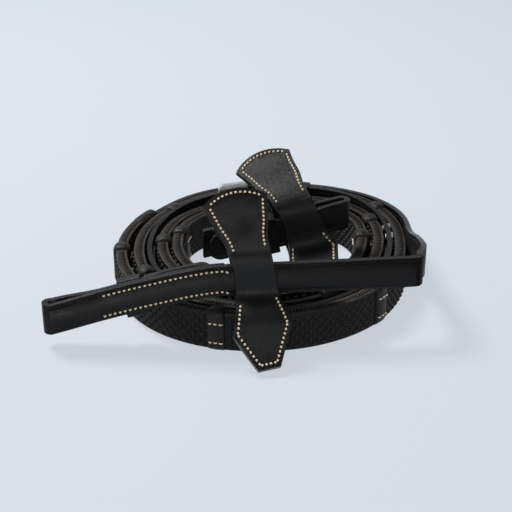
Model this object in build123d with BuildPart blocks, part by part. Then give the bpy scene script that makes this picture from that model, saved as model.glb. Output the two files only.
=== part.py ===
from build123d import *
import math
import os

# Leather reins with rubber grips, wound into a flat coil, in millimetres.
# +Z is up and the coil stands on z = 0. The straps stand on edge.
# The left rein is the outer one and its bit end comes out at the front.
# The right rein lies inside it and its bit end crosses the middle of the coil.
# The two hand ends are joined by a buckle at the back of the coil.

os.makedirs("parts", exist_ok=True)

# Straps
STRAP_W = 19.0
STRAP_T = 3.2
HALF_T = STRAP_T / 2
LINING_T = 1.6
BUCKLE_END_T = 2.6

# Rubber grips and the leather bands round them
CORE_T = 2.4
SLEEVE_T = 6.8
SLEEVE_BOTTOM = 1.0
SLEEVE_TOP = 25.0
CORE_BOTTOM = 3.5
CORE_TOP = CORE_BOTTOM + STRAP_W
CORE_Z = (CORE_BOTTOM + CORE_TOP) / 2
HAND_STOP_WALL = 1.2
HAND_STOP_LENGTH = 10.0
COVER_WALL = 0.8
COVER_LENGTH_BIT = 20.0
COVER_LENGTH_HAND = 14.0
BAND_TOP = SLEEVE_TOP + 1.0

# Bit loops and billets: distances are back along the strap from where the loop starts
LOOP_R = 1.9
LOOP_CENTRE_R = LOOP_R + HALF_T
LEG_GAP = 2 * LOOP_CENTRE_R
LINING_START = 32.0
FOLD_SAG_END = 32.0
FOLD_TIP_START = 50.0
FOLD_TIP_LENGTH = 19.0
FOLD_TIP_LIFT = 0.8
FOLD_TIP_ROUND = 8.0
FOLD_TIP_STEPS = 6
FOLD_TIP_NARROWING = 0.85
FOLD_STEPS = 16
KEEPER_START = 43.0
KEEPER_LENGTH = 14.0
KEEPER_WALL = 1.3
KEEPER_CORNER = 1.2
KEEPER_CLEAR = 0.2
KEEPER_SLACK = 2.8
KEEPER_DROOP = 0.2
GLUE_LINE = 0.05
STUD_POST_R = 1.8
STUD_HEAD_LENGTH = 15.0
STUD_HEAD_W = 6.0
STUD_HEAD_T = 1.6
STUD_SLOT_LENGTH = 16.0
STUD_SLOT_W = 5.5
STUD_PLATE_LENGTH = 12.0
STUD_PLATE_W = 8.0
STUD_PLATE_T = 1.0
STUD_PLATE_CORNER = 2.0

# Martingale stops
STOP_LAYER_T = 2.3
STOP_HEAD_HALF_W = 19.3
STOP_SHIELD_HALF_W = 17.4
STOP_WAIST_HALF_W = 11.4
STOP_TIP_HALF_W = 6.5
STOP_CUT_DEPTH = 70.0
STOP_HALF_SPAN = 40.0

# Buckle
BUCKLE_WIRE = 3.0
BUCKLE_BAR_R = BUCKLE_WIRE / 2
BUCKLE_LENGTH = 18.0
BUCKLE_HALF_H = 14.0
BUCKLE_CORNER = 2.5
BUCKLE_Z = 20.5
CHAPE_T = 1.3
CHAPE_GAP = 0.25
CHAPE_SLOT_LENGTH = 10.0
CHAPE_SLOT_W = 4.0
TONGUE_T = 2.0
TONGUE_W = 2.6
TONGUE_EYE_CLEAR = 0.06
TONGUE_EYE_WALL = 1.3
TONGUE_SLOT_LENGTH = 17.5
TONGUE_SLOT_W = 3.6
TONGUE_SLOT_AT = 4.75
LOOP_WALL = 1.0
LOOP_CLEAR = 0.1
LOOP_LENGTH = 8.0
BUCKLE_KEEPER_AT = -19.0
RUNNING_KEEPER_AT = -39.0

# Rivets
RIVET_HEAD_R = 2.7
RIVET_HEAD_T = 1.2
RIVET_SHANK_R = 1.2
RIVET_TAIL_R = 1.8
RIVET_TAIL_T = 0.6
RIVET_LIFT = 5.0
RIVET_ANGLES = (733.5, 741.0)
RISE_START = 690.0
RISE_TURN = 85.0

# Origin of the part, under the centre of its bounding box
ORIGIN_X = -11.527
ORIGIN_Y = -4.165


def at(x, y, z=0.0):
    """Point of the coil's own frame, moved to the part's origin."""
    return Vector(x - ORIGIN_X, y - ORIGIN_Y, z)


# The coil: distance from its centre to the strap's centreline every 45 degrees,
# from the right-hand side, anticlockwise seen from above, winding inwards.
COIL_X = 4.0
COIL_Y = 3.0
COIL_STEP = 45.0
COIL_RADII = [
    94.3, 107.0, 99.0, 92.0, 89.5, 90.0, 87.0, 86.5,
    88.5, 100.0, 93.0, 83.8, 78.5, 80.0, 78.5, 77.5,
    81.5, 93.0, 83.5, 76.3, 72.0, 71.0, 70.5, 69.5,
    74.0, 86.0, 74.0, 70.2, 63.5, 61.5, 62.5, 59.0,
    63.0, 76.0, 65.5, 62.0, 54.0, 52.5, 55.0, 51.0,
    51.5, 62.0, 58.0, 52.0, 47.5, 45.0,
]


def coil_radius(angle):
    """Smooth interpolation of the coil's radii."""
    step = angle / COIL_STEP
    index = min(int(step), len(COIL_RADII) - 2)
    part = step - index
    before = COIL_RADII[max(index - 1, 0)]
    start = COIL_RADII[index]
    end = COIL_RADII[index + 1]
    after = COIL_RADII[min(index + 2, len(COIL_RADII) - 1)]
    slope = (end - before) / 2
    curve = before - 2.5 * start + 2 * end - 0.5 * after
    bend = (after - before) / 2 + 1.5 * (start - end)
    return start + slope * part + curve * part**2 + bend * part**3


def coil_normal(angle):
    """Unit vector square to the strap, pointing out of the coil."""
    radius = coil_radius(angle)
    growth = (coil_radius(angle + 1) - coil_radius(angle - 1)) / math.radians(2)
    turn = math.radians(angle)
    x = radius * math.cos(turn) + growth * math.sin(turn)
    y = radius * math.sin(turn) - growth * math.cos(turn)
    return Vector(x, y, 0).normalized()


def coil_point(angle, offset=0.0, z=0.0):
    """Point on the coil, moved outwards square to the strap."""
    turn = math.radians(angle)
    radius = coil_radius(angle)
    x = COIL_X + radius * math.cos(turn)
    y = COIL_Y + radius * math.sin(turn)
    return at(x, y, z) + coil_normal(angle) * offset


def degrees_of(length, angle):
    """Turn of the coil that a length of strap takes up at an angle."""
    return math.degrees(length / coil_radius(angle))


def coil_band(start, end, inner, outer, bottom, top, mode=Mode.ADD):
    """Upright band along the coil between two angles and two offsets."""
    count = max(4, round((end - start) / 15))
    angles = [start + (end - start) * i / count for i in range(count + 1)]
    with BuildSketch(Plane.XY.offset(bottom)) as plan:
        with BuildLine():
            outside = Spline(*[coil_point(angle, outer) for angle in angles])
            inside = Spline(*[coil_point(angle, inner) for angle in angles])
            Line(outside @ 0, inside @ 0)
            Line(outside @ 1, inside @ 1)
        make_face()
    extrude(plan.sketch, amount=top - bottom, mode=mode)


def strap_sections(sections, thickness, heights=None):
    """Strap on edge through upright sections, each a point and its heading."""
    outlines = []
    for (point, heading), height in zip(sections, heights or [STRAP_W] * len(sections)):
        flat = Vector(heading.X, heading.Y, 0).normalized()
        across = Vector(flat.Y, -flat.X, 0)
        with BuildSketch(Plane(origin=point, x_dir=across, z_dir=flat)) as outline:
            Rectangle(thickness, height)
        outlines.append(outline.sketch)
    loft(outlines, ruled=True)


def along(edge, start, end, count, side=0.0, rise=None):
    """Sections along an edge, moved to one side and raised by a function."""
    sections = []
    for i in range(count + 1):
        share = start + (end - start) * i / count
        heading = edge % share
        normal = Vector(-heading.Y, heading.X, 0).normalized()
        lift = rise(share) if rise else 0.0
        sections.append((edge @ share + normal * side + Vector(0, 0, lift), heading))
    return sections


def save(name, part):
    """Label a finished piece and write it."""
    part.label = name
    export_step(part, f"parts/{name}.step")


# ---------------------------------------------------------------- rubber grips
SLEEVE_END_GAP = 0.2
LEFT_GRIP = (144.0, 632.0)
RIGHT_GRIP = (1020.0, 1690.0)
LEFT_HAND_STOPS = (181.0, 252.7, 322.0, 398.0, 496.0, 565.0)
RIGHT_HAND_STOPS = (1110.0, 1172.0, 1251.0, 1355.0, 1455.0, 1597.0)


def band_round_sleeve(name, sleeve, start, end, wall):
    """Leather band that goes all round the rubber sleeve."""
    half = SLEEVE_T / 2 + wall
    with BuildPart() as band:
        coil_band(start, end, -half, half, 0, BAND_TOP)
        add(sleeve, mode=Mode.SUBTRACT)
    save(name, band.part)


def make_grip(hand, grip, hand_stops, bit_end_first):
    """Core, sleeve, end covers and hand stops of one rein."""
    start, end = grip
    with BuildPart() as core:
        coil_band(start, end, -CORE_T / 2, CORE_T / 2, CORE_BOTTOM, CORE_TOP)
    save(f"{hand}_grip_core", core.part)
    with BuildPart() as sleeve:
        coil_band(start, end, -SLEEVE_T / 2, SLEEVE_T / 2, SLEEVE_BOTTOM, SLEEVE_TOP)
    filled = sleeve.part
    with BuildPart() as rubber:
        add(filled)
        add(core.part, mode=Mode.SUBTRACT)
    save(f"{hand}_rubber_sleeve", rubber.part)
    for number, angle in enumerate(hand_stops, 1):
        half = degrees_of(HAND_STOP_LENGTH / 2, angle)
        name = f"{hand}_hand_stop_{number}"
        band_round_sleeve(name, filled, angle - half, angle + half, HAND_STOP_WALL)
    lengths = (COVER_LENGTH_BIT, COVER_LENGTH_HAND)
    names = ("bit", "hand")
    if not bit_end_first:
        lengths = lengths[::-1]
        names = names[::-1]
    first = start + degrees_of(lengths[0], start)
    last = end - degrees_of(lengths[1], end)
    band_round_sleeve(f"{hand}_end_cover_{names[0]}", filled, start, first, COVER_WALL)
    band_round_sleeve(f"{hand}_end_cover_{names[1]}", filled, last, end, COVER_WALL)


make_grip("left", LEFT_GRIP, LEFT_HAND_STOPS, True)
make_grip("right", RIGHT_GRIP, RIGHT_HAND_STOPS, False)


# ------------------------------------------------------------- bit straps' routes
# Left: back along the outside of the coil, round the right-hand bend, straight
# along the front where the stop slides, and down to the loop at the left.
LEFT_RUN_START = at(87.0, -65.1, 42.0)
LEFT_RUN_END = at(-16.0, -75.2, 42.0)
LEFT_HEADING = (LEFT_RUN_END - LEFT_RUN_START).normalized()
left_back_points = [coil_point(angle, 0, z) for angle, z in (
    (LEFT_GRIP[0] - SLEEVE_END_GAP, 13.0), (128, 14.3), (112, 15.0), (90, 15.0), (67, 15.0),
    (45, 15.8), (22, 19.0))]
left_back_points += [
    coil_point(0, 0, 25.5),
    at(98.8, -12.0, 30.8),
    at(99.2, -27.0, 36.0),
    at(99.4, -41.0, 39.8),
    at(98.6, -51.5, 41.4),
    at(95.2, -60.2, 42.0),
    LEFT_RUN_START,
]
with BuildLine() as left_back:
    Spline(*left_back_points, tangents=[coil_normal(144).rotate(Axis.Z, -90), LEFT_HEADING])
with BuildLine() as left_run:
    Line(LEFT_RUN_START, LEFT_RUN_END)
with BuildLine() as left_front:
    Spline(
        LEFT_RUN_END,
        at(-52.0, -77.2, 36.5),
        at(-88.0, -78.6, 27.5),
        at(-119.0, -80.0, 18.5),
        tangents=[LEFT_HEADING, Vector(-0.95, -0.05, -0.25)],
    )

# Right: on round the inside of the coil, rising at the back and the left, then
# straight across the middle and up to the loop at the right.
RIGHT_RUN_START = at(-33.0, -12.3, 33.8)
RIGHT_RUN_END = at(53.0, 6.1, 48.4)
RIGHT_HEADING = (RIGHT_RUN_END - RIGHT_RUN_START).normalized()
right_back_points = [coil_point(angle, 0, z) for angle, z in (
    (RIGHT_GRIP[1] + 2 * SLEEVE_END_GAP, 13.0), (1725, 13.0), (1755, 13.0), (1780, 13.0),
    (1800, 13.0), (1822, 13.0), (1845, 13.2), (1867, 13.6), (1890, 14.8), (1912, 17.0),
    (1935, 20.5), (1958, 25.0),
    (1980, 29.0))]
right_back_points += [
    at(-42.8, -5.0, 31.2),
    at(-39.6, -10.6, 32.6),
    RIGHT_RUN_START,
]
with BuildLine() as right_back:
    Spline(*right_back_points, tangents=[coil_normal(1690).rotate(Axis.Z, 90), RIGHT_HEADING])
with BuildLine() as right_run:
    Line(RIGHT_RUN_START, RIGHT_RUN_END)


# ------------------------------------------------------------------- bit straps
def smooth_step(value):
    """Smooth change from 0 to 1 as the value goes from 0 to 1."""
    value = min(max(value, 0.0), 1.0)
    return value * value * (3 - 2 * value)


def fold_sag(distance, sag):
    """Height of the folded end above the strap: it sags past the loop, and its tip lifts."""
    down = smooth_step(distance / FOLD_SAG_END)
    lift = smooth_step((distance - FOLD_TIP_START) / FOLD_TIP_LENGTH)
    return -sag * down + FOLD_TIP_LIFT * sag * lift


def make_billet(hand, strap, front, side, fold_length, lining_end, stud_at, sag):
    """Loop, folded end, lining, keeper and stud at the bit end of a rein."""
    length = front.length

    def share(distance):
        """Place along the front edge of a distance from the loop."""
        return 1 - distance / length

    def rise(place):
        return fold_sag((1 - place) * length, sag)

    def frame(distance, offset):
        """Plane on the strap: X along it to the loop, Z out of its back."""
        heading = front % share(distance)
        back = Vector(-heading.Y, heading.X, 0).normalized() * side
        origin = front @ share(distance) + back * offset
        return Plane(origin=origin, x_dir=heading, z_dir=back)

    end = front @ 1
    heading = front % 1
    flat = Vector(heading.X, heading.Y, 0).normalized()
    back = Vector(-flat.Y, flat.X, 0) * side
    loop_plane = Plane(
        origin=end + back * LOOP_CENTRE_R - Vector(0, 0, STRAP_W / 2),
        x_dir=flat,
        z_dir=(0, 0, 1),
    )
    tip_start = share(fold_length - FOLD_TIP_ROUND)
    fold = along(front, 1, tip_start, FOLD_STEPS, LEG_GAP * side, rise)
    tip = along(front, tip_start, share(fold_length), FOLD_TIP_STEPS, LEG_GAP * side, rise)
    tip_heights = []
    for i in range(FOLD_TIP_STEPS + 1):
        tip_heights.append(STRAP_W * math.sqrt(1 - FOLD_TIP_NARROWING * (i / FOLD_TIP_STEPS) ** 2))
    with BuildPart() as bit_strap:
        add(strap)
        with BuildSketch(loop_plane):
            Circle(LOOP_R + STRAP_T)
            Circle(LOOP_R, mode=Mode.SUBTRACT)
            with Locations((-LOOP_R - STRAP_T, 0)):
                Rectangle(2 * (LOOP_R + STRAP_T), 4 * (LOOP_R + STRAP_T), mode=Mode.SUBTRACT)
        extrude(amount=STRAP_W)
        strap_sections(fold, STRAP_T)
        strap_sections(tip, STRAP_T, tip_heights)
        with BuildSketch(frame(stud_at, LEG_GAP - STRAP_T)):
            SlotOverall(STUD_SLOT_LENGTH, STUD_SLOT_W)
        extrude(amount=2 * STRAP_T, mode=Mode.SUBTRACT)
    save(f"{hand}_bit_strap", bit_strap.part)

    # Plate in a pocket of the lining, and the stud standing on it
    with BuildPart() as plate:
        with BuildSketch(frame(stud_at, HALF_T + GLUE_LINE)):
            RectangleRounded(STUD_PLATE_LENGTH, STUD_PLATE_W, STUD_PLATE_CORNER)
        extrude(amount=STUD_PLATE_T)
    save(f"{hand}_stud_plate", plate.part)
    plate_top = HALF_T + GLUE_LINE + STUD_PLATE_T
    head_at = LEG_GAP + HALF_T + KEEPER_CLEAR
    with BuildPart() as stud:
        with BuildSketch(frame(stud_at, plate_top)):
            Circle(STUD_POST_R)
        extrude(amount=head_at - plate_top)
        with BuildSketch(frame(stud_at, head_at)):
            with Locations((STUD_HEAD_LENGTH / 2 - STUD_HEAD_W / 2, 0)):
                SlotOverall(STUD_HEAD_LENGTH, STUD_HEAD_W)
        extrude(amount=STUD_HEAD_T)
    save(f"{hand}_hook_stud", stud.part)

    with BuildPart() as lining:
        offset = (HALF_T + GLUE_LINE + LINING_T / 2) * side
        strap_sections(along(front, share(LINING_START), share(lining_end), 10, offset), LINING_T)
        add(plate.part, mode=Mode.SUBTRACT)
        add(stud.part, mode=Mode.SUBTRACT)
    save(f"{hand}_billet_lining", lining.part)

    # Keeper round the folded end
    middle = KEEPER_START + KEEPER_LENGTH / 2
    inner_h = STRAP_W + KEEPER_SLACK
    inner_t = STRAP_T + 2 * KEEPER_CLEAR
    keeper_plane = frame(middle, LEG_GAP)
    lowered = Vector(0, 0, fold_sag(middle, sag) - KEEPER_DROOP)
    across_plane = Plane(
        origin=keeper_plane.origin + lowered - keeper_plane.x_dir * (KEEPER_LENGTH / 2),
        x_dir=keeper_plane.z_dir,
        z_dir=keeper_plane.x_dir,
    )
    with BuildPart() as keeper:
        with BuildSketch(across_plane):
            RectangleRounded(inner_t + 2 * KEEPER_WALL, inner_h + 2 * KEEPER_WALL, KEEPER_CORNER)
            Rectangle(inner_t, inner_h, mode=Mode.SUBTRACT)
        extrude(amount=KEEPER_LENGTH)
    save(f"{hand}_billet_keeper", keeper.part)


with BuildPart() as left_long:
    strap_sections(along(left_back.edge(), 0, 0.78, 40), STRAP_T)
    strap_sections(along(left_back.edge(), 0.78, 1, 36), STRAP_T)
    strap_sections(along(left_run.edge(), 0, 1, 1), STRAP_T)
    strap_sections(along(left_front.edge(), 0, 1, 10), STRAP_T)
with BuildPart() as right_long:
    strap_sections(along(right_back.edge(), 0, 0.88, 46), STRAP_T)
    strap_sections(along(right_back.edge(), 0.88, 1, 26), STRAP_T)
    strap_sections(along(right_run.edge(), 0, 1, 1), STRAP_T)

make_billet("left", left_long.part, left_front.edge(),
            side=-1, fold_length=98.0, lining_end=104.0, stud_at=80.0, sag=2.6)
make_billet("right", right_long.part, right_run.edge(),
            side=-1, fold_length=86.0, lining_end=84.0, stud_at=71.0, sag=1.5)


# ------------------------------------------------------- hand straps and buckle
BUCKLE_ANGLE = 818.0
BUCKLE_OFFSET = -1.1
BUCKLE_SWING = 2.5
CHAPE_LENGTH = 20.0
CHAPE_LAP = 2.0
CHAPE_POCKET = 6.0
CHAPE_INNER = BUCKLE_BAR_R + CHAPE_GAP
CHAPE_OUTER = CHAPE_INNER + CHAPE_T
BILLET_OFFSET = BUCKLE_OFFSET + CHAPE_OUTER + LOOP_CLEAR + BUCKLE_END_T / 2
STRAP_BOTTOM_AT_BUCKLE = BUCKLE_Z - STRAP_W / 2
STRAP_TOP_AT_BUCKLE = BUCKLE_Z + STRAP_W / 2

hinge = coil_point(BUCKLE_ANGLE, BUCKLE_OFFSET, BUCKLE_Z)
hinge_out = coil_normal(BUCKLE_ANGLE)
hinge_heading = hinge_out.rotate(Axis.Z, 90)
frame_out = hinge_out.rotate(Axis.Z, BUCKLE_SWING)
frame_heading = hinge_heading.rotate(Axis.Z, BUCKLE_SWING)
buckle_plane = Plane(origin=hinge, x_dir=frame_heading, z_dir=frame_out)
chape_start = BUCKLE_ANGLE - degrees_of(CHAPE_LENGTH, BUCKLE_ANGLE)


def past_hinge(distance):
    """Angle of the coil at a distance along the strap from the hinge bar."""
    return BUCKLE_ANGLE + degrees_of(distance, BUCKLE_ANGLE)


with BuildLine() as left_hand_route:
    Spline(*[coil_point(angle, offset, z) for angle, offset, z in (
        (LEFT_GRIP[1] + 1.5 * SLEEVE_END_GAP, 0, 13.0), (660, 0, 13.0), (690, 0, 13.3),
        (720, 0, 14.5), (740, 0, 15.8), (752, 0, 17.6), (762, -0.5, 19.2), (769, -0.95, BUCKLE_Z - 0.2),
        (774, BUCKLE_OFFSET, BUCKLE_Z), (778, BUCKLE_OFFSET, BUCKLE_Z), (783, BUCKLE_OFFSET, BUCKLE_Z),
        (788, BUCKLE_OFFSET, BUCKLE_Z), (793, BUCKLE_OFFSET, BUCKLE_Z), (798, BUCKLE_OFFSET, BUCKLE_Z),
        (chape_start, BUCKLE_OFFSET, BUCKLE_Z))])

with BuildPart() as rivets:
    for angle in RIVET_ANGLES:
        strap_z = CORE_Z + (BUCKLE_Z - CORE_Z) * (angle - RISE_START) / RISE_TURN
        for start, length, radius in (
            (-HALF_T - RIVET_TAIL_T, RIVET_TAIL_T, RIVET_TAIL_R),
            (-HALF_T, STRAP_T, RIVET_SHANK_R),
            (HALF_T, RIVET_HEAD_T, RIVET_HEAD_R),
        ):
            place = coil_point(angle, start, strap_z + RIVET_LIFT)
            with BuildSketch(Plane(origin=place, z_dir=coil_normal(angle))) as disc:
                Circle(radius)
            extrude(disc.sketch, amount=length)
save("splice_rivets", rivets.part)

with BuildPart() as left_hand_strap:
    strap_sections(along(left_hand_route.edge(), 0, 1, 48), STRAP_T)
    for start, half_t, mode in (
        (chape_start - degrees_of(CHAPE_LAP, BUCKLE_ANGLE), CHAPE_OUTER, Mode.ADD),
        (past_hinge(-CHAPE_POCKET), CHAPE_INNER, Mode.SUBTRACT),
    ):
        coil_band(
            start,
            BUCKLE_ANGLE,
            BUCKLE_OFFSET - half_t,
            BUCKLE_OFFSET + half_t,
            STRAP_BOTTOM_AT_BUCKLE,
            STRAP_TOP_AT_BUCKLE,
            mode,
        )
    with BuildSketch(Plane(origin=hinge - Vector(0, 0, STRAP_W / 2), x_dir=hinge_heading, z_dir=(0, 0, 1))):
        Circle(CHAPE_OUTER)
        Circle(CHAPE_INNER, mode=Mode.SUBTRACT)
        with Locations((-CHAPE_OUTER, 0)):
            Rectangle(2 * CHAPE_OUTER, 4 * CHAPE_OUTER, mode=Mode.SUBTRACT)
    extrude(amount=STRAP_W)
    with BuildSketch(buckle_plane):
        Rectangle(CHAPE_SLOT_LENGTH, CHAPE_SLOT_W)
    extrude(amount=CHAPE_OUTER + 1, both=True, mode=Mode.SUBTRACT)
    add(rivets.part, mode=Mode.SUBTRACT)
save("left_hand_strap", left_hand_strap.part)

with BuildPart() as buckle_frame:
    with BuildSketch(buckle_plane):
        with Locations((BUCKLE_LENGTH / 2, 0)):
            RectangleRounded(BUCKLE_LENGTH + BUCKLE_WIRE, 2 * BUCKLE_HALF_H, BUCKLE_CORNER)
        with Locations((BUCKLE_LENGTH / 2 - BUCKLE_WIRE, 0)):
            Rectangle(BUCKLE_LENGTH + BUCKLE_WIRE, 2 * (BUCKLE_HALF_H - BUCKLE_WIRE), mode=Mode.SUBTRACT)
    extrude(amount=BUCKLE_WIRE / 2, both=True)
    with BuildSketch(Plane(origin=hinge, z_dir=(0, 0, 1))):
        Circle(BUCKLE_BAR_R)
    extrude(amount=BUCKLE_HALF_H - BUCKLE_WIRE / 2, both=True)
save("buckle_frame", buckle_frame.part)

eye_r = BUCKLE_BAR_R + TONGUE_EYE_CLEAR
tongue_base = BUCKLE_BAR_R + LOOP_CLEAR
with BuildPart() as tongue:
    with BuildSketch(Plane(origin=hinge, x_dir=frame_heading, z_dir=(0, 0, 1))):
        Circle(eye_r + TONGUE_EYE_WALL)
        with Locations(((BUCKLE_LENGTH + BUCKLE_BAR_R) / 2, -tongue_base - TONGUE_T / 2)):
            Rectangle(BUCKLE_LENGTH + BUCKLE_BAR_R, TONGUE_T)
        Circle(eye_r, mode=Mode.SUBTRACT)
    extrude(amount=TONGUE_W / 2, both=True)
save("buckle_tongue", tongue.part)


def by_frame(forward, out):
    """Point in the buckle frame's plane, by distance from the hinge bar."""
    return hinge + frame_heading * forward + frame_out * out


LYING_OFFSET = BUCKLE_OFFSET + HALF_T + BUCKLE_END_T / 2 + 2 * LOOP_CLEAR
right_hand_points = [coil_point(past_hinge(distance), offset, BUCKLE_Z) for distance, offset in (
    (-48, LYING_OFFSET), (-43, LYING_OFFSET), (-38, LYING_OFFSET), (-32, LYING_OFFSET),
    (-25, BILLET_OFFSET - 0.1), (-17, BILLET_OFFSET), (-8, BILLET_OFFSET))]
right_hand_points += [by_frame(forward, out) for forward, out in (
    (0, 4.45), (3.5, 4.0), (7, 2.2), (11, -0.8), (14.5, -2.7), (18, -3.05), (22, -3.2))]
right_hand_points += [coil_point(angle, offset, z) for angle, offset, z in (
    (past_hinge(30), -1.9, BUCKLE_Z), (849, -0.7, 20.0), (864, 0, 18.9), (887, 0, 16.6),
    (915, 0, 14.2), (950, 0, 13.2), (985, 0, 13.0),
    (RIGHT_GRIP[0] - 1.5 * SLEEVE_END_GAP, 0, 13.0))]
with BuildLine() as right_hand_route:
    Spline(*right_hand_points)
THIN_SHARE = 0.265
with BuildPart() as right_hand_strap:
    strap_sections(along(right_hand_route.edge(), 0, THIN_SHARE, 24), BUCKLE_END_T)
    strap_sections(along(right_hand_route.edge(), THIN_SHARE, 1, 30), STRAP_T)
    with BuildSketch(buckle_plane):
        with Locations((TONGUE_SLOT_AT, 0)):
            Rectangle(TONGUE_SLOT_LENGTH, TONGUE_SLOT_W)
    extrude(amount=2 * CHAPE_OUTER, both=True, mode=Mode.SUBTRACT)
save("right_hand_strap", right_hand_strap.part)


def strap_loop(name, distance, width, inside, outside):
    """Leather loop round the two straps beside the buckle."""
    angle = past_hinge(distance)
    half = degrees_of(width / 2, angle)
    with BuildPart() as loop:
        coil_band(angle - half, angle + half, inside - LOOP_WALL, outside + LOOP_WALL,
                  STRAP_BOTTOM_AT_BUCKLE - LOOP_CLEAR - LOOP_WALL,
                  STRAP_TOP_AT_BUCKLE + LOOP_CLEAR + LOOP_WALL)
        coil_band(angle - half, angle + half, inside, outside,
                  STRAP_BOTTOM_AT_BUCKLE - LOOP_CLEAR, STRAP_TOP_AT_BUCKLE + LOOP_CLEAR,
                  mode=Mode.SUBTRACT)
    save(name, loop.part)


HALF_BILLET = BUCKLE_END_T / 2 + LOOP_CLEAR
strap_loop("buckle_keeper", BUCKLE_KEEPER_AT, LOOP_LENGTH,
           BUCKLE_OFFSET - CHAPE_OUTER - LOOP_CLEAR, BILLET_OFFSET + HALF_BILLET)
strap_loop("running_keeper", RUNNING_KEEPER_AT, LOOP_LENGTH,
           BUCKLE_OFFSET - HALF_T - LOOP_CLEAR, LYING_OFFSET + HALF_BILLET)


# -------------------------------------------------------------- martingale stops
def layer_outline(middle, thickness):
    """Outline of a bent layer of leather round its middle line."""
    count = 36
    sides = []
    for half in (thickness / 2, -thickness / 2):
        side = []
        for i in range(count + 1):
            share = i / count
            side.append(middle @ share + (middle % share).rotate(Axis.Z, 90) * half)
        sides.append(side)
    with BuildLine() as border:
        one = Spline(*sides[0])
        other = Spline(*sides[1])
        Line(one @ 0, other @ 0)
        Line(one @ 1, other @ 1)
    return border.line


def middle_line(points):
    """Smooth line through section points."""
    with BuildLine() as line:
        Spline(*points)
    return line.edge()


def back_middle_line(front, tunnel, foot_seam, head_seam):
    """Line of the back layer: along the front layer at the seams, round the tunnel between."""
    foot = []
    head = []
    count = 30
    for i in range(count + 1):
        share = i / count
        place = front @ share
        point = place - (front % share).rotate(Axis.Z, 90) * (STOP_LAYER_T + 2 * GLUE_LINE)
        if place.Y < foot_seam:
            foot.append(point)
        if place.Y > head_seam:
            head.append(point)
    return middle_line(foot + tunnel + head)


def stop_outline(head_reach, widest, foot_reach, foot_shift):
    """Flat outline of a stop: a domed head, a waist and a tapered shield."""
    sides = []
    for hand in (1, -1):
        sides.append([
            (STOP_HEAD_HALF_W * hand, head_reach - 7.5),
            (18.0 * hand, head_reach - 12.5),
            (16.7 * hand, head_reach - 18.5),
            (15.2 * hand, 29.0),
            (12.6 * hand, 20.6),
            (11.6 * hand, 9.2),
            (STOP_WAIST_HALF_W * hand, 0.0),
            (12.2 * hand - foot_shift * 0.15, -9.0),
            (STOP_SHIELD_HALF_W * hand - foot_shift * 0.7, -widest),
        ])
    right, left = sides
    feet = [(STOP_TIP_HALF_W * hand - foot_shift, -foot_reach) for hand in (1, -1)]
    with BuildLine() as border:
        ThreePointArc(left[0], (0, head_reach), right[0])
        Spline(*right)
        Polyline(right[-1], feet[0], feet[1], left[-1])
        Spline(*left)
    return border.line


def make_stop(hand, centre, heading, lean, tilt, front_points, tunnel, seams, reaches):
    """Two stitched layers with a tunnel at the waist for the strap."""
    back = Vector(-heading.Y, heading.X, 0).normalized()
    section_plane = Plane(origin=centre, x_dir=back, z_dir=heading)
    up = section_plane.y_dir
    lean_up = back * math.cos(math.radians(lean)) + up * math.sin(math.radians(lean))
    out = up * math.cos(math.radians(lean)) - back * math.sin(math.radians(lean))
    across = heading * math.cos(math.radians(tilt)) + lean_up * math.sin(math.radians(tilt))
    outline_plane = Plane(origin=centre, x_dir=across, z_dir=out)
    front = middle_line(front_points)
    behind = back_middle_line(front, tunnel, *seams)
    for side, middle in (("front", front), ("back", behind)):
        with BuildPart() as layer:
            with BuildSketch(outline_plane):
                with BuildLine():
                    add(stop_outline(*reaches))
                make_face()
            extrude(amount=STOP_CUT_DEPTH, both=True)
            with BuildSketch(section_plane) as section:
                with BuildLine():
                    add(layer_outline(middle, STOP_LAYER_T))
                make_face()
            extrude(section.sketch, amount=STOP_HALF_SPAN, both=True, mode=Mode.INTERSECT)
        save(f"{hand}_stop_{side}", layer.part)


make_stop(
    "left",
    left_run.edge() @ 0.8555,
    LEFT_HEADING * -1,
    lean=45.0,
    tilt=10.0,
    front_points=[
        (-39.6, -40.0), (-23.9, -21.4), (-17.7, -14.5), (-10.0, -10.2), (-5.6, -6.0), (-4.6, 1.0),
        (-4.0, 9.5), (-1.5, 15.0), (4.0, 18.8), (11.0, 23.3), (37.5, 44.7)],
    tunnel=[(-10.0, -13.7), (-3.0, -13.4), (2.2, -12.2), (4.0, -7.0), (4.2, 3.0), (4.6, 10.0), (7.0, 17.0)],
    seams=(-16.0, 22.0),
    reaches=(54.5, 31.2, 53.5, 4.0),
)
to_fold = Vector(RIGHT_HEADING.Y, -RIGHT_HEADING.X, 0).normalized()
make_stop(
    "right",
    right_run.edge() @ 0.69 + to_fold * (LEG_GAP / 2),
    RIGHT_HEADING,
    lean=47.0,
    tilt=12.0,
    front_points=[
        (-44.0, -15.2), (-36.0, -15.3), (-28.0, -15.4), (-20.0, -15.2), (-13.0, -13.6), (-9.2, -9.3),
        (-7.8, -3.0), (-7.6, 6.0), (-6.0, 13.0), (0.5, 18.6), (9.0, 22.3), (52.0, 38.2)],
    tunnel=[(-5.5, -15.8), (1.5, -15.2), (6.6, -11.5), (7.7, -4.0), (7.7, 8.0), (9.6, 16.5)],
    seams=(-14.9, 22.0),
    reaches=(56.5, 23.0, 41.5, 3.0),
)
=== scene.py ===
import math

import bpy
import numpy as np
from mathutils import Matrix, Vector
from mathutils.bvhtree import BVHTree
from mathutils.kdtree import KDTree


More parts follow.
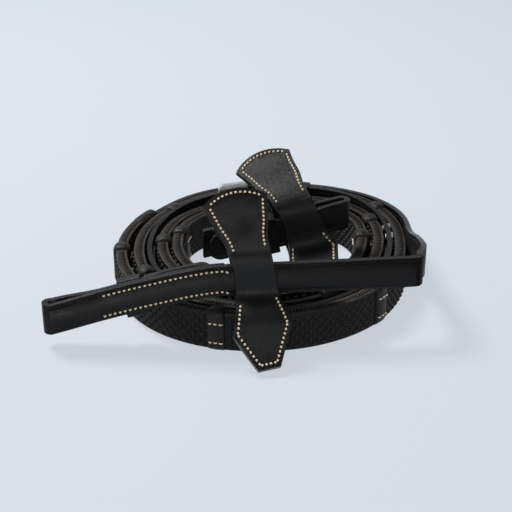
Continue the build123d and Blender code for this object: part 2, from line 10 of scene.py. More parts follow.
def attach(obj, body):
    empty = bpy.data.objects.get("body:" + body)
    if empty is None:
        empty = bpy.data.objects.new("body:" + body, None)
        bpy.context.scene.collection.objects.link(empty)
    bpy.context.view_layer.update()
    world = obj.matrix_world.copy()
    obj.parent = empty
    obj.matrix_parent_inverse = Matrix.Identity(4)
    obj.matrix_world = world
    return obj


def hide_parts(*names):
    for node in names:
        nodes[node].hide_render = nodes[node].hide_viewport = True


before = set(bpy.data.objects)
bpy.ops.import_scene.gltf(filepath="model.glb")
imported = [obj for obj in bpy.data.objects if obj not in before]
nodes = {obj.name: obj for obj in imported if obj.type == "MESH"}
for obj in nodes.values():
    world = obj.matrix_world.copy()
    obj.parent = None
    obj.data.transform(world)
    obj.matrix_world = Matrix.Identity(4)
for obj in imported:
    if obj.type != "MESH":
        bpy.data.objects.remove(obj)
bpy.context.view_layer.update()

MM = 0.001
UP = Vector((0, 0, 1))

# ------------------------------------------------------------------ the coil
# The strap is wound on edge. Its centreline is given by its distance from the
# coil's centre every COIL_STEP degrees, from the outermost turn inwards.
COIL_CENTRE = Vector((15.527, 7.165, 0.0)) * MM
COIL_STEP = 45.0
COIL_RADII = [
    94.3, 107.0, 99.0, 92.0, 89.5, 90.0, 87.0, 86.5,
    88.5, 100.0, 93.0, 83.8, 78.5, 80.0, 78.5, 77.5,
    81.5, 93.0, 83.5, 76.3, 72.0, 71.0, 70.5, 69.5,
    74.0, 86.0, 74.0, 70.2, 63.5, 61.5, 62.5, 59.0,
    63.0, 76.0, 65.5, 62.0, 54.0, 52.5, 55.0, 51.0,
    51.5, 62.0, 58.0, 52.0, 47.5, 45.0,
]

# Heights and thicknesses in millimetres; the crease is the pressed line beside a
# strap's edge, measured from the strap's middle
STRAP_HEIGHT = 19.0
CREASE = 7.1
SLEEVE_FOOT = 1.0
SLEEVE_TOP = 25.0
SLEEVE_HALF_T = 3.4

# Each grip: where it starts and ends and where its hand stops sit, in degrees
# along the coil, and its two end covers with their lengths in millimetres
GRIPS = {
    "left": {"run": (144.0, 632.0), "stops": (181.0, 252.7, 322.0, 398.0, 496.0, 565.0),
             "covers": (("bit", 20.0), ("hand", 14.0))},
    "right": {"run": (1020.0, 1690.0), "stops": (1110.0, 1172.0, 1251.0, 1355.0, 1455.0, 1597.0),
              "covers": (("hand", 14.0), ("bit", 20.0))},
}


def coil_radius(angle):
    """Distance from the coil's centre to the strap, in millimetres."""
    step = angle / COIL_STEP
    index = min(int(step), len(COIL_RADII) - 2)
    part = step - index
    before = COIL_RADII[max(index - 1, 0)]
    start = COIL_RADII[index]
    end = COIL_RADII[index + 1]
    after = COIL_RADII[min(index + 2, len(COIL_RADII) - 1)]
    slope = (end - before) / 2
    curve = before - 2.5 * start + 2 * end - 0.5 * after
    bend = (after - before) / 2 + 1.5 * (start - end)
    return start + slope * part + curve * part**2 + bend * part**3


def coil_frame(angle):
    """Centreline point, outward normal and forward tangent of the coil."""
    radius = coil_radius(angle)
    growth = (coil_radius(angle + 1) - coil_radius(angle - 1)) / math.radians(2)
    c, s = math.cos(math.radians(angle)), math.sin(math.radians(angle))
    point = COIL_CENTRE + Vector((radius * c, radius * s, 0)) * MM
    out = Vector((radius * c + growth * s, radius * s - growth * c, 0)).normalized()
    return point, out, Vector((-out.y, out.x, 0))


def turn_of(length, angle):
    """Degrees that a length in millimetres takes up along the coil there."""
    return math.degrees(length / coil_radius(angle))


def coil_steps(start, end, pitch):
    """Angles from start to end, spaced by a length along the coil in millimetres."""
    angles = []
    angle = start
    while angle < end:
        angles.append(angle)
        angle += turn_of(pitch, angle)
    return angles


# ------------------------------------------------------------- mesh building
# A dome's rings, from its sunken foot up: scale and rise
DOME_RINGS = ((0.96, -0.35), (1.0, 0.0), (0.86, 0.55), (0.5, 0.9), (0.15, 1.0))
DOME_SIDES = 8
# A stitch's rings, from end to end: share of its length, scale and rise
STITCH_RINGS = ((0.0, 0.5, -0.4), (0.12, 0.85, 0.1), (0.35, 1.0, 0.4),
                (0.65, 1.0, 0.4), (0.88, 0.85, 0.1), (1.0, 0.5, -0.4))
STITCH_SIDES = 6
# Share of the way between two holes where a stitch starts, and a hole's size in millimetres
STITCH_START = 0.2
HOLE_WIDTH = 1.1
HOLE_HEIGHT = 0.12


class Pile:
    """Many small closed shapes gathered into one mesh."""

    def __init__(self):
        self.verts = []
        self.faces = []

    def rings(self, rings):
        """Skin a list of rings of points and close both ends."""
        base = len(self.verts)
        count = len(rings[0])
        for ring in rings:
            self.verts.extend(ring)
        for i in range(len(rings) - 1):
            for j in range(count):
                a = base + i * count + j
                b = base + i * count + (j + 1) % count
                self.faces.append((a, b, b + count, a + count))
        last = base + (len(rings) - 1) * count
        self.faces.append(tuple(range(base + count - 1, base - 1, -1)))
        self.faces.append(tuple(range(last, last + count)))

    def dome(self, centre, along, across, out, length, width, height):
        """Low pillow standing on a surface, sunk a little into it."""
        rings = []
        for scale, rise in DOME_RINGS:
            ring = []
            for i in range(DOME_SIDES):
                turn = 2 * math.pi * i / DOME_SIDES
                ring.append(centre + along * (math.cos(turn) * length / 2 * scale)
                            + across * (math.sin(turn) * width / 2 * scale) + out * (height * rise))
            rings.append(ring)
        self.rings(rings)

    def stitch(self, start, end, out, thick):
        """One stitch of thread: a spindle that dips into the leather at both ends."""
        along = (end - start).normalized()
        side = out.cross(along).normalized()
        rings = []
        for share, scale, rise in STITCH_RINGS:
            middle = start.lerp(end, share) + out * (thick * rise)
            ring = []
            for i in range(STITCH_SIDES):
                turn = 2 * math.pi * i / STITCH_SIDES
                ring.append(middle + side * (math.cos(turn) * thick / 2 * scale)
                            + out * (math.sin(turn) * thick / 2 * scale))
            rings.append(ring)
        self.rings(rings)

    def build(self, name, body, material, slot):
        """Make the mesh object and hang it on its body."""
        mesh = bpy.data.meshes.new(name)
        mesh.from_pydata([tuple(v) for v in self.verts], [], self.faces)
        mesh.update()
        mesh.polygons.foreach_set("use_smooth", [True] * len(mesh.polygons))
        obj = bpy.data.objects.new(name, mesh)
        bpy.context.scene.collection.objects.link(obj)
        mesh.materials.append(material)
        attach(obj, body)
        return obj


def sew(threads, holes, hits, thick, longest):
    """Stitches from each place to the next, with a near-black dome of painted shade standing for a hole
    where each starts.

    A hit is a place with its outward normal. A gap over the longest stitch is left open.
    """
    for (a, normal), (b, _) in zip(hits, hits[1:]):
        if (b - a).length < longest:
            threads.stitch(a.lerp(b, STITCH_START), a.lerp(b, 1 - STITCH_START), normal, thick)
            holes.dome(a, (b - a).normalized(), normal.cross(b - a).normalized(), normal,
                       HOLE_WIDTH * MM, HOLE_WIDTH * MM, HOLE_HEIGHT * MM)


def tree_of(name):
    """Ray-casting tree of a CAD node."""
    mesh = nodes[name].data
    return BVHTree.FromPolygons([v.co for v in mesh.vertices],
                                [tuple(p.vertices) for p in mesh.polygons])


def surface_hit(tree, origin, facing):
    """Place on a surface that looks along facing, with its outward normal, or None."""
    place, normal, _, _ = tree.ray_cast(origin, -facing)
    if place is None:
        return None
    return place, normal if normal.dot(facing) > 0 else -normal


# ------------------------------------------------------------------ materials
def new_material(name):
    """Material with its node tree and shader."""
    material = bpy.data.materials.new(name)
    material.use_nodes = True
    tree = material.node_tree
    return material, tree, tree.nodes["Principled BSDF"]


def feed(tree, socket, value):
    """Wire a socket to another one, or fill it with a value."""
    if isinstance(value, bpy.types.NodeSocket):
        tree.links.new(value, socket)
    else:
        socket.default_value = value


def add(tree, kind, inputs=None, **settings):
    """Add a node, set it up and wire or fill its inputs."""
    node = tree.nodes.new(kind)
    for key, value in settings.items():
        setattr(node, key, value)
    for key, value in (inputs or {}).items():
        feed(tree, node.inputs[key], value)
    return node


def maths(tree, operation, a, b=0.0, c=0.0):
    """Result of a sum on up to three values."""
    return add(tree, "ShaderNodeMath", {0: a, 1: b, 2: c}, operation=operation).outputs[0]


def span(tree, value, low, high, to_low=0.0, to_high=1.0):
    """Smooth ramp of a value."""
    inputs = {"Value": value, "From Min": low, "From Max": high, "To Min": to_low, "To Max": to_high}
    return add(tree, "ShaderNodeMapRange", inputs, interpolation_type="SMOOTHSTEP").outputs[0]


def mix_colour(tree, factor, one, other):
    """Colour between two others."""
    inputs = {0: factor, 6: one, 7: other}
    return add(tree, "ShaderNodeMix", inputs, data_type="RGBA").outputs[2]


def own_place(tree):
    """Position in the object's own frame."""
    return add(tree, "ShaderNodeTexCoord").outputs["Object"]


def noise(tree, where, scale, detail, rough=0.5, distortion=0.0):
    """Soft noise from 0 to 1."""
    inputs = {"Vector": where, "Scale": scale, "Detail": detail, "Roughness": rough,
              "Distortion": distortion}
    return add(tree, "ShaderNodeTexNoise", inputs).outputs["Fac"]


def facing_up(tree):
    """How far a surface faces upwards, where the colour is painted lighter as if lit from above."""
    normal = add(tree, "ShaderNodeNewGeometry").outputs["Normal"]
    up = add(tree, "ShaderNodeSeparateXYZ", {0: normal}).outputs["Z"]
    return span(tree, up, 0.1, 0.85)


def tinted(colour, factor):
    """Colour made lighter or darker, fully opaque."""
    return [channel * factor for channel in colour[:3]] + [1]


def dress(tree, shader, colour, roughness, height, strength, distance):
    """Give a shader its colour, its roughness and the bumps of a height."""
    bump = add(tree, "ShaderNodeBump", {"Height": height, "Strength": strength, "Distance": distance})
    feed(tree, shader.inputs["Base Color"], colour)
    feed(tree, shader.inputs["Roughness"], roughness)
    feed(tree, shader.inputs["Normal"], bump.outputs["Normal"])


def leather(name, base, light, rough, grain, creases=0.0, wrinkles=0.0, sheen=0.17):
    """Dyed leather: fine grain, soft wear, and creases beside a strap's edges, with painted shade in the
    crease lines and a painted highlight along the edges.
    """
    material, tree, shader = new_material(name)
    where = own_place(tree)
    cells = add(tree, "ShaderNodeTexVoronoi", {"Vector": where, "Scale": 1500.0},
                feature="DISTANCE_TO_EDGE")
    pores = span(tree, cells.outputs["Distance"], 0.0, 0.25)
    height = maths(tree, "MULTIPLY_ADD", noise(tree, where, 900.0, 3.0, 0.6), 0.6, pores)
    depth = maths(tree, "MULTIPLY", height, grain)
    broad = noise(tree, where, 55.0, 4.0, 0.6)
    worn = span(tree, noise(tree, where, 190.0, 5.0, 0.7), 0.55, 0.75)
    colour = mix_colour(tree, span(tree, broad, 0.3, 0.7, 0.0, 0.55), base, light)
    colour = mix_colour(tree, maths(tree, "MULTIPLY", worn, 0.35), colour, light)
    roughness = span(tree, broad, 0.3, 0.7, rough - 0.07, rough + 0.08)
    if creases:
        across = add(tree, "ShaderNodeAttribute", attribute_name="across").outputs["Fac"]
        off = maths(tree, "ABSOLUTE", across)
        dip = span(tree, maths(tree, "ABSOLUTE", maths(tree, "SUBTRACT", off, CREASE)), 0.0, 0.5, 1.0, 0.0)
        edge = span(tree, off, 8.7, 9.3)
        depth = maths(tree, "MULTIPLY_ADD", dip, -creases, depth)
        # Painted highlight: a strap's edges are lightened as if catching the light
        colour = mix_colour(tree, maths(tree, "MULTIPLY", edge, 0.8), colour, tinted(light, 2.2))
        # Painted shade: the crease line is darkened as if shaded in its groove
        colour = mix_colour(tree, maths(tree, "MULTIPLY", dip, 0.6), colour, tinted(base, 0.4))
        roughness = maths(tree, "MULTIPLY_ADD", edge, -0.1, roughness)
    if wrinkles:
        folds = noise(tree, where, 110.0, 2.0, distortion=1.2)
        depth = maths(tree, "MULTIPLY_ADD", folds, wrinkles, depth)
    dress(tree, shader, colour, roughness, depth, 0.55, 0.0006)
    shader.inputs["Specular IOR Level"].default_value = sheen
    return material


def rubber(name, base, light):
    """Matt moulded rubber, painted lighter on its upward faces as if lit from above, in random patches."""
    material, tree, shader = new_material(name)
    where = own_place(tree)
    broad = noise(tree, where, 70.0, 5.0, 0.65)
    # Painted light: upward faces take the lighter colour as if lit from above, patchy by noise
    painted_top_light = maths(tree, "MULTIPLY", facing_up(tree), span(tree, broad, 0.2, 0.7, 0.35, 1.0))
    colour = mix_colour(tree, painted_top_light, base, light)
    roughness = span(tree, broad, 0.3, 0.7, 0.42, 0.6)
    dress(tree, shader, colour, roughness, noise(tree, where, 1400.0, 2.0), 0.4, 0.0003)
    shader.inputs["Specular IOR Level"].default_value = 0.16
    return material


def thread(name, base, light):
    """Waxed thread with a fine twist."""
    material, tree, shader = new_material(name)
    where = own_place(tree)
    twist = add(tree, "ShaderNodeTexWave", {"Vector": where, "Scale": 900.0, "Distortion": 1.5},
                bands_direction="DIAGONAL")
    colour = mix_colour(tree, noise(tree, where, 160.0, 3.0), base, light)
    dress(tree, shader, colour, 0.62, twist.outputs["Fac"], 0.5, 0.0002)
    return material


def metal(name, base):
    """Nickel-plated steel with fine scratches."""
    material, tree, shader = new_material(name)
    where = own_place(tree)
    roughness = span(tree, noise(tree, where, 260.0, 4.0), 0.3, 0.7, 0.26, 0.38)
    dress(tree, shader, base, roughness, noise(tree, where, 2600.0, 1.0), 0.02, 0.0001)
    shader.inputs["Metallic"].default_value = 1.0
    return material


STRAP = leather("strap_leather", (0.0028, 0.0027, 0.0029, 1), (0.0075, 0.0069, 0.0065, 1),
                rough=0.34, grain=0.10, creases=1.5)
STOP = leather("stop_leather", (0.0036, 0.0035, 0.0036, 1), (0.0068, 0.0065, 0.0068, 1),
               rough=0.35, grain=0.10, wrinkles=0.5, sheen=0.24)
BAND = leather("band_leather", (0.0080, 0.0072, 0.0064, 1), (0.023, 0.020, 0.0175, 1),
               rough=0.40, grain=0.16, wrinkles=2.4)
CORE = leather("core_leather", (0.004, 0.004, 0.004, 1), (0.009, 0.009, 0.009, 1), rough=0.6, grain=0.1)
# Near-black painted shade, standing for the stitch holes and the rubber's seam groove
HOLE = leather("stitch_holes", (0.0012, 0.0012, 0.0012, 1), (0.002, 0.002, 0.002, 1), rough=0.8, grain=0.05)
# The grips' lighter colour is painted light on their upward faces
RUBBER = rubber("grip_rubber", (0.0038, 0.0036, 0.0036, 1), (0.040, 0.0335, 0.0280, 1))
THREAD = thread("stitching", (0.62, 0.49, 0.33, 1), (0.92, 0.79, 0.60, 1))
NICKEL = metal("nickel", (0.92, 0.91, 0.87, 1))


# ----------------------------------------------------------- the CAD's pieces
# Part of a node's name, its material, and the width in millimetres and the
# segments of its rounded edges. The first row that fits a name counts.
LOOKS = (
    ("_strap", STRAP, 0.45, 2),
    ("sleeve", RUBBER, 3.0, 4),
    ("core", CORE, 0.45, 2),
    ("lining", CORE, 0.45, 2),
    ("_stop_front", STOP, 0.5, 2),
    ("_stop_back", STOP, 0.5, 2),
    ("hand_stop", BAND, 0.6, 2),
    ("cover", BAND, 0.6, 2),
    ("keeper", STRAP, 0.3, 2),
    ("", NICKEL, 0.25, 2),
)
SHARP_ANGLE = math.radians(38)


def mark_across(obj):
    """Give a strap an attribute, millimetres above its centreline, and list centreline points."""
    mesh = obj.data
    columns = {}
    for vertex in mesh.vertices:
        key = (round(vertex.co.x, 5), round(vertex.co.y, 5))
        columns.setdefault(key, []).append(vertex.co.z)
    points = []
    for (x, y), heights in columns.items():
        low, high = min(heights), max(heights)
        if abs(high - low - STRAP_HEIGHT * MM) < 0.1 * MM:
            points.append((x, y, (low + high) / 2))
    tree = KDTree(len(points))
    for i, point in enumerate(points):
        tree.insert(point, i)
    tree.balance()
    attribute = mesh.attributes.new("across", "FLOAT", "POINT")
    values = []
    for vertex in mesh.vertices:
        found = tree.find_range(vertex.co, (STRAP_HEIGHT / 2 + 2) * MM)
        if found:
            near = min(found, key=lambda hit: (hit[0].xy - vertex.co.xy).length)[0]
            values.append((vertex.co.z - near.z) / MM)
        else:
            values.append(0.0)
    attribute.data.foreach_set("value", values)
    return points


def soften(obj, width, segments):
    """Round a CAD piece's cut edges for the eye."""
    weld = obj.modifiers.new("weld", "WELD")
    weld.merge_threshold = 0.002 * MM
    bevel = obj.modifiers.new("bevel", "BEVEL")
    bevel.width = width * MM
    bevel.segments = segments
    bevel.limit_method = "ANGLE"
    bevel.angle_limit = SHARP_ANGLE
    even = obj.modifiers.new("even_normals", "WEIGHTED_NORMAL")
    even.weight = 90


centrelines = {}
for name, obj in nodes.items():
    if "_strap" in name:
        centrelines[name] = mark_across(obj)
    _, material, width, segments = next(look for look in LOOKS if look[0] in name)
    obj.data.materials.clear()
    obj.data.materials.append(material)
    obj.data.polygons.foreach_set("use_smooth", [True] * len(obj.data.polygons))
    soften(obj, width, segments)

# ---------------------------------------------------------------- rubber grips
# Leather bands, in millimetres: a hand stop's length, the room left beside a
# band, and each kind's wall and how far its padding bulges in the middle. A
# profile row is a share of the length and of the wall.
HAND_STOP_LENGTH = 10.0
BAND_ROOM = 0.6
BAND_SIDES = 44
BAND_PROFILE = (
    (-0.5, -0.2), (-0.495, 0.35), (-0.46, 0.8), (-0.4, 1.0), (-0.25, 1.0), (-0.1, 1.0),
    (0.1, 1.0), (0.25, 1.0), (0.4, 1.0), (0.46, 0.8), (0.495, 0.35), (0.5, -0.2),
)
HAND_STOP_WALL, HAND_STOP_PUFF = 1.2, 1.1
COVER_WALL, COVER_PUFF = 0.8, 0.3

# Stitches of a hand stop, in millimetres
BAND_THREAD = 1.0
BAND_THREAD_OUT = 2.05
BAND_THREAD_HALF = 1.2
BAND_THREAD_HEIGHTS = (6.5, 19.0)
BAND_THREAD_STEPS = (-3.0, 0.0, 3.0)

# Pimples on the rubber, in millimetres, left out close to the buckle's tongue
DOME_PITCH = 5.4
DOME_HEIGHTS = (3.2, 6.2, 9.2, 12.2, 15.2, 18.2, 21.0)
DOME_SIZE = (3.4 * MM, 3.0 * MM, 1.0 * MM)
TONGUE_ROOM = 5.0 * MM
tongue_corners = [vertex.co.copy() for vertex in nodes["buckle_tongue"].data.vertices]

# Seam along a sleeve's top edge: a near-black strip of painted shade with this section, standing for the
# shaded gaps, and bars across it
SEAM_PITCH = 2.2
SEAM_HEIGHT = 24.95
SEAM_BAR = (1.25 * MM, 4.4 * MM, 0.75 * MM)
SEAM_GROOVE = (
    (-1.8, 24.75), (-1.2, 25.02), (-0.4, 25.12), (0.4, 25.12),
    (1.2, 25.02), (1.8, 24.75), (1.8, 24.3), (-1.8, 24.3),
)


def covered_spans(grip):
    """Stretches of a grip under its bands, as pairs of angles."""
    start, end = grip["run"]
    (_, first), (_, last) = grip["covers"]
    half = HAND_STOP_LENGTH / 2 + BAND_ROOM
    spans = [(angle - turn_of(half, angle), angle + turn_of(half, angle)) for angle in grip["stops"]]
    spans.append((start - 1, start + turn_of(first + BAND_ROOM, start)))
    spans.append((end - turn_of(last + BAND_ROOM, end), end + 1))
    return spans


def is_bare(angle, spans):
    """Whether no band covers the grip there."""
    return not any(low < angle < high for low, high in spans)


def rubber_domes(grip, spans):
    """Rows of pimples on both faces of a sleeve, every other row shifted by half a pitch."""
    domes = Pile()
    start, end = grip["run"]
    for row, height in enumerate(DOME_HEIGHTS):
        shift = DOME_PITCH / 2 if row % 2 else 0.0
        for side in (1, -1):
            for angle in coil_steps(start + turn_of(shift, start), end, DOME_PITCH):
                if not is_bare(angle, spans):
                    continue
                point, out, forward = coil_frame(angle)
                place = point + out * (side * SLEEVE_HALF_T * MM) + UP * (height * MM)
                if min((place - corner).length for corner in tongue_corners) >= TONGUE_ROOM:
                    domes.dome(place, forward, UP * side, out * side, *DOME_SIZE)
    return domes


def rubber_seam(grip, spans):
    """Strip of painted shade along a sleeve's top edge, standing for its dark groove, and the bars across
    it.
    """
    groove = Pile()
    bars = Pile()
    strip = []
    for angle in coil_steps(*grip["run"], SEAM_PITCH):
        if is_bare(angle, spans):
            point, out, forward = coil_frame(angle)
            bars.dome(point + UP * (SEAM_HEIGHT * MM), forward, out, UP, *SEAM_BAR)
            strip.append([point + out * (x * MM) + UP * (z * MM) for x, z in SEAM_GROOVE])
        elif len(strip) > 1:
            groove.rings(strip)
            strip = []
    return groove, bars


def padded_band(node, middle, length, wall, puff):
    """Padded leather band round the grip, standing for a CAD node."""
    pile = Pile()
    rings = []
    for place, height in BAND_PROFILE:
        point, out, _ = coil_frame(middle + turn_of(place * length, middle))
        swell = wall * height + puff * max(0.0, math.cos(math.pi * place))**0.7 * (height > 0.3)
        half_t = (SLEEVE_HALF_T + swell) * MM
        low = (SLEEVE_FOOT - min(swell, SLEEVE_FOOT)) * MM
        high = (SLEEVE_TOP + swell) * MM
        ring = []
        for i in range(BAND_SIDES):
            turn = 2 * math.pi * (i + 0.5) / BAND_SIDES
            s = math.sin(turn)
            x = math.copysign(abs(math.cos(turn))**0.8, math.cos(turn)) * half_t
            z = high - 0.8 * half_t * (1 - s) if s > 0 else low + 0.8 * half_t * (1 + s)
            ring.append(point + out * x + UP * z)
        rings.append(ring)
    pile.rings(rings)
    shell = pile.build(f"{node}_shell", "reins", BAND, "black_leather")
    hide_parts(node)


def stop_threads(threads, angle):
    """Two rows of stitches on each face of a hand stop."""
    for side in (1, -1):
        for height in BAND_THREAD_HEIGHTS:
            for step in BAND_THREAD_STEPS:
                point, out, forward = coil_frame(angle + turn_of(step, angle))
                face = point + out * (side * (SLEEVE_HALF_T + BAND_THREAD_OUT) * MM) + UP * (height * MM)
                half = forward * (BAND_THREAD_HALF * MM)
                threads.stitch(face - half, face + half, out * side, BAND_THREAD * MM)


for hand, grip in GRIPS.items():
    spans = covered_spans(grip)
    groove, bars = rubber_seam(grip, spans)
    groove.build(f"{hand}_rubber_seam_groove", "reins", HOLE, "grip_rubber")
    rubber_domes(grip, spans).build(f"{hand}_rubber_domes", "reins", RUBBER, "grip_rubber")
    bars.build(f"{hand}_rubber_seam", "reins", RUBBER, "grip_rubber")

    threads = Pile()
    for number, angle in enumerate(grip["stops"], 1):
        padded_band(f"{hand}_hand_stop_{number}", angle, HAND_STOP_LENGTH, HAND_STOP_WALL, HAND_STOP_PUFF)
        stop_threads(threads, angle)
    threads.build(f"{hand}_hand_stop_stitches", "reins", THREAD, "stitching")
    for (end_name, length), end_angle, way in zip(grip["covers"], grip["run"], (1, -1)):
        middle = end_angle + way * turn_of(length / 2, end_angle)
        padded_band(f"{hand}_end_cover_{end_name}", middle, length, COVER_WALL, COVER_PUFF)

# -------------------------------------------------------------- martingale stops
# Each stop: its middle, the direction of the strap in it, how far it leans back
# and tilts in its own plane, in degrees, and in millimetres in that plane how far
# its head and its foot's widest line and end reach, and the foot's shift.
STOPS = {
    "left": {"centre": (10.410, -69.576, 42.0), "heading": (0.99523, 0.09759, 0.0),
             "lean": 45.0, "tilt": 10.0, "reaches": (54.5, 31.2, 53.5, 4.0)},
    "right": {"centre": (38.595, 1.138, 43.874), "heading": (0.96467, 0.20639, 0.16377),
              "lean": 47.0, "tilt": 12.0, "reaches": (56.5, 23.0, 41.5, 3.0)},
}
THREAD_WIDTH = 1.25
# Half the head's width at its corners and how far they lie below its top
HEAD_HALF = 19.3
HEAD_DROP = 7.5
# The tunnel covers the waist between these two heights
TUNNEL_TOP = 13.0
TUNNEL_FOOT = -11.0
# Stitch line's distance from the edge and its pitch, the length left free at the
# foot's side and end corners, and the longest stitch
INSET = 2.7
STITCH_PITCH = 2.7
SIDE_TRIM = 0.6
FOOT_TRIM = 1.4
LONGEST_STITCH = 5.0
# Distance from which a stop's surface is looked for
FAR = 90.0
CURVE_STEPS = 10
ARC_POINTS = 24


def catmull(points):
    """Smooth plane curve through points."""
    curve = []
    for i in range(len(points) - 1):
        before = np.array(points[max(i - 1, 0)])
        start = np.array(points[i])
        end = np.array(points[i + 1])
        after = np.array(points[min(i + 2, len(points) - 1)])
        for j in range(CURVE_STEPS):
            t = j / CURVE_STEPS
            curve.append(0.5 * (2 * start + (end - before) * t
                                + (2 * before - 5 * start + 4 * end - after) * t**2
                                + (3 * start - before - 3 * end + after) * t**3))
    curve.append(np.array(points[-1]))
    return np.array(curve)


def spaced(curve, pitch, trim_start, trim_end):
    """Points at an even pitch along a plane curve."""
    steps = np.linalg.norm(np.diff(curve, axis=0), axis=1)
    run = np.concatenate([[0], np.cumsum(steps)])
    count = max(2, round((run[-1] - trim_start - trim_end) / pitch))
    marks = np.linspace(trim_start, run[-1] - trim_end, count + 1)
    return np.stack([np.interp(marks, run, curve[:, k]) for k in (0, 1)], axis=1)


def inset(curve, amount):
    """Plane curve moved to its right-hand side."""
    heading = np.gradient(curve, axis=0)
    heading /= np.linalg.norm(heading, axis=1)[:, None]
    return curve + np.stack([heading[:, 1], -heading[:, 0]], axis=1) * amount


def side_outline(sign, head_reach, widest, shift):
    """One side of a stop, from the head's corner down to the foot's widest line."""
    return [
        (HEAD_HALF * sign, head_reach - HEAD_DROP), (18.0 * sign, head_reach - 12.5),
        (16.7 * sign, head_reach - 18.5), (15.2 * sign, 29.0), (12.6 * sign, 20.6),
        (11.6 * sign, 9.2), (11.4 * sign, 0.0), (12.2 * sign - shift * 0.15, -9.0),
        (17.4 * sign - shift * 0.7, -widest),
    ]


def stitch_lines(head_reach, widest, foot_reach, shift):
    """Stitch lines of a stop, walking clockwise so that the inside is on the right."""
    turn = math.asin(HEAD_HALF * 2 * HEAD_DROP / (HEAD_HALF**2 + HEAD_DROP**2))
    radius = HEAD_HALF / math.sin(turn)
    arc = np.array([(radius * math.sin(a), head_reach - radius + radius * math.cos(a))
                    for a in np.linspace(-turn, turn, ARC_POINTS)])
    right, left = [side_outline(sign, head_reach, widest, shift) for sign in (1, -1)]
    feet = [(6.5 - shift, -foot_reach), (-6.5 - shift, -foot_reach)]
    right_curve = catmull(right)
    left_curve = catmull(left)[::-1]
    lines = [
        (arc, INSET, INSET),
        (right_curve[right_curve[:, 1] > TUNNEL_TOP], INSET, 0),
        (left_curve[left_curve[:, 1] > TUNNEL_TOP], 0, INSET),
        (right_curve[right_curve[:, 1] < TUNNEL_FOOT], 0, SIDE_TRIM),
        (np.array([right[-1], feet[0]]), SIDE_TRIM, FOOT_TRIM),
        (np.array(feet), FOOT_TRIM, FOOT_TRIM),
        (np.array([feet[1], left[-1]]), FOOT_TRIM, SIDE_TRIM),
        (left_curve[left_curve[:, 1] < TUNNEL_FOOT], SIDE_TRIM, 0),
    ]
    return [spaced(inset(line, INSET), STITCH_PITCH, a, b) for line, a, b in lines]


for hand, stop in STOPS.items():
    centre = Vector(stop["centre"]) * MM
    heading = Vector(stop["heading"]).normalized()
    back = Vector((-heading.y, heading.x, 0)).normalized()
    up = heading.cross(back)
    lean, tilt = math.radians(stop["lean"]), math.radians(stop["tilt"])
    lean_up = back * math.cos(lean) + up * math.sin(lean)
    out = up * math.cos(lean) - back * math.sin(lean)
    across = heading * math.cos(tilt) + lean_up * math.sin(tilt)
    rise = out.cross(across)
    threads = Pile()
    holes = Pile()
    for side, facing in (("front", out), ("back", -out)):
        tree = tree_of(f"{hand}_stop_{side}")
        for line in stitch_lines(*stop["reaches"]):
            origins = [centre + across * (x * MM) + rise * (y * MM) + facing * (FAR * MM) for x, y in line]
            hits = [surface_hit(tree, origin, facing) for origin in origins]
            sew(threads, holes, [hit for hit in hits if hit], THREAD_WIDTH * MM, LONGEST_STITCH * MM)
    threads.build(f"{hand}_stop_stitches", f"{hand}_stop", THREAD, "stitching")
    holes.build(f"{hand}_stop_stitch_holes", f"{hand}_stop", HOLE, "black_leather")


# ---------------------------------------------------------------- billet stitches
# The front run of the left bit strap, in millimetres: where its two rows of
# stitches start and end along x, their pitch, and their heights off the middle
BILLET_START = -77.4
BILLET_END = -3.4
BILLET_PITCH = 3.0
BILLET_ROWS = (6.7, -6.7)
# Depths and lengths by which the front face's points are told from the ones behind
FRONT_ROOM = 15.0
FRONT_WINDOW = 12.0
FRONT_DEPTH = 2.0
# Distance from which the strap's face is looked for
BILLET_FAR = 250.0


def front_heights(points, start, end):
    """Places along x and the strap's middle height there, on its front face."""
    room, window, depth = FRONT_ROOM * MM, FRONT_WINDOW * MM, FRONT_DEPTH * MM
    inside = [point for point in points if start - room < point[0] < end + room]
    front = sorted(point for point in inside if point[1] < depth + min(
        other[1] for other in inside if abs(other[0] - point[0]) < window))
    return [point[0] for point in front], [point[2] for point in front]


tree = tree_of("left_bit_strap")
xs, heights = front_heights(centrelines["left_bit_strap"], BILLET_START * MM, BILLET_END * MM)
threads = Pile()
holes = Pile()
count = round((BILLET_END - BILLET_START) / BILLET_PITCH)
for row in BILLET_ROWS:
    hits = []
    for i in range(count + 1):
        x = (BILLET_START + (BILLET_END - BILLET_START) * i / count) * MM
        z = float(np.interp(x, xs, heights)) + row * MM
        hits.append(surface_hit(tree, Vector((x, -BILLET_FAR * MM, z)), Vector((0, -1, 0))))
    sew(threads, holes, [hit for hit in hits if hit], THREAD_WIDTH * MM, LONGEST_STITCH * MM)
threads.build("left_billet_stitches", "reins", THREAD, "stitching")
holes.build("left_billet_stitches_holes", "reins", HOLE, "black_leather")

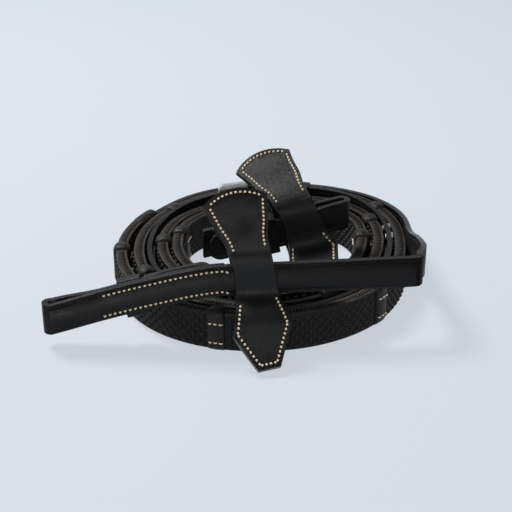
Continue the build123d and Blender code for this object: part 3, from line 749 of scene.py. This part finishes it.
# -------------------------------------------------------------- floor and light
# Pale paper that glows a little, so that it stays even out to the picture's edges
bpy.ops.mesh.primitive_plane_add(size=14.0, location=(0, 0, -0.4 * MM))
floor = bpy.context.object
floor.name = "floor"
paper, _, paper_shader = new_material("paper")
paper_shader.inputs["Base Color"].default_value = (0.11, 0.119, 0.131, 1)
paper_shader.inputs["Emission Color"].default_value = (0.548, 0.583, 0.628, 1)
paper_shader.inputs["Emission Strength"].default_value = 1.0
paper_shader.inputs["Roughness"].default_value = 0.9
paper_shader.inputs["Specular IOR Level"].default_value = 0.0
floor.data.materials.append(paper)

# Studio sky: bright near the horizon, dim overhead
LOW_SKY = (0.66, 0.705, 0.77, 1)
HIGH_SKY = (0.17, 0.172, 0.175, 1)
world = bpy.data.worlds.new("studio")
bpy.context.scene.world = world
world.use_nodes = True
sky_tree = world.node_tree
direction = add(sky_tree, "ShaderNodeTexCoord").outputs["Generated"]
height = add(sky_tree, "ShaderNodeSeparateXYZ", {0: direction}).outputs["Z"]
sky_colour = mix_colour(sky_tree, span(sky_tree, height, 0.22, 0.5), LOW_SKY, HIGH_SKY)
feed(sky_tree, sky_tree.nodes["Background"].inputs["Color"], sky_colour)


def lamp(name, place, aim, size, power):
    """Round soft box."""
    data = bpy.data.lights.new(name, "AREA")
    data.shape = "DISK"
    data.size = size
    data.energy = power
    obj = bpy.data.objects.new(name, data)
    bpy.context.scene.collection.objects.link(obj)
    obj.location = place
    obj.rotation_euler = (Vector(aim) - Vector(place)).to_track_quat("-Z", "Y").to_euler()


lamp("key", (-0.55, 0.45, 1.1), (0, 0, 0.03), 0.45, 22.0)
lamp("front", (-0.15, -1.15, 0.6), (0, 0, 0.04), 0.3, 3.5)

bpy.context.scene.view_settings.view_transform = "Standard"

# ---------------------------------------------------------------------- camera
AIM = Vector((11.527, 4.165, 19.0)) * MM
ELEVATION = math.radians(27.0)
DISTANCE = 0.770
camera_data = bpy.data.cameras.new("camera")
camera_data.lens = 84.7
camera_data.sensor_width = 36.0
camera_data.clip_start = 0.05
camera = bpy.data.objects.new("camera", camera_data)
bpy.context.scene.collection.objects.link(camera)
camera.location = AIM + Vector((0, -math.cos(ELEVATION), math.sin(ELEVATION))) * DISTANCE
camera.rotation_euler = (math.pi / 2 - ELEVATION, 0, 0)
bpy.context.scene.camera = camera
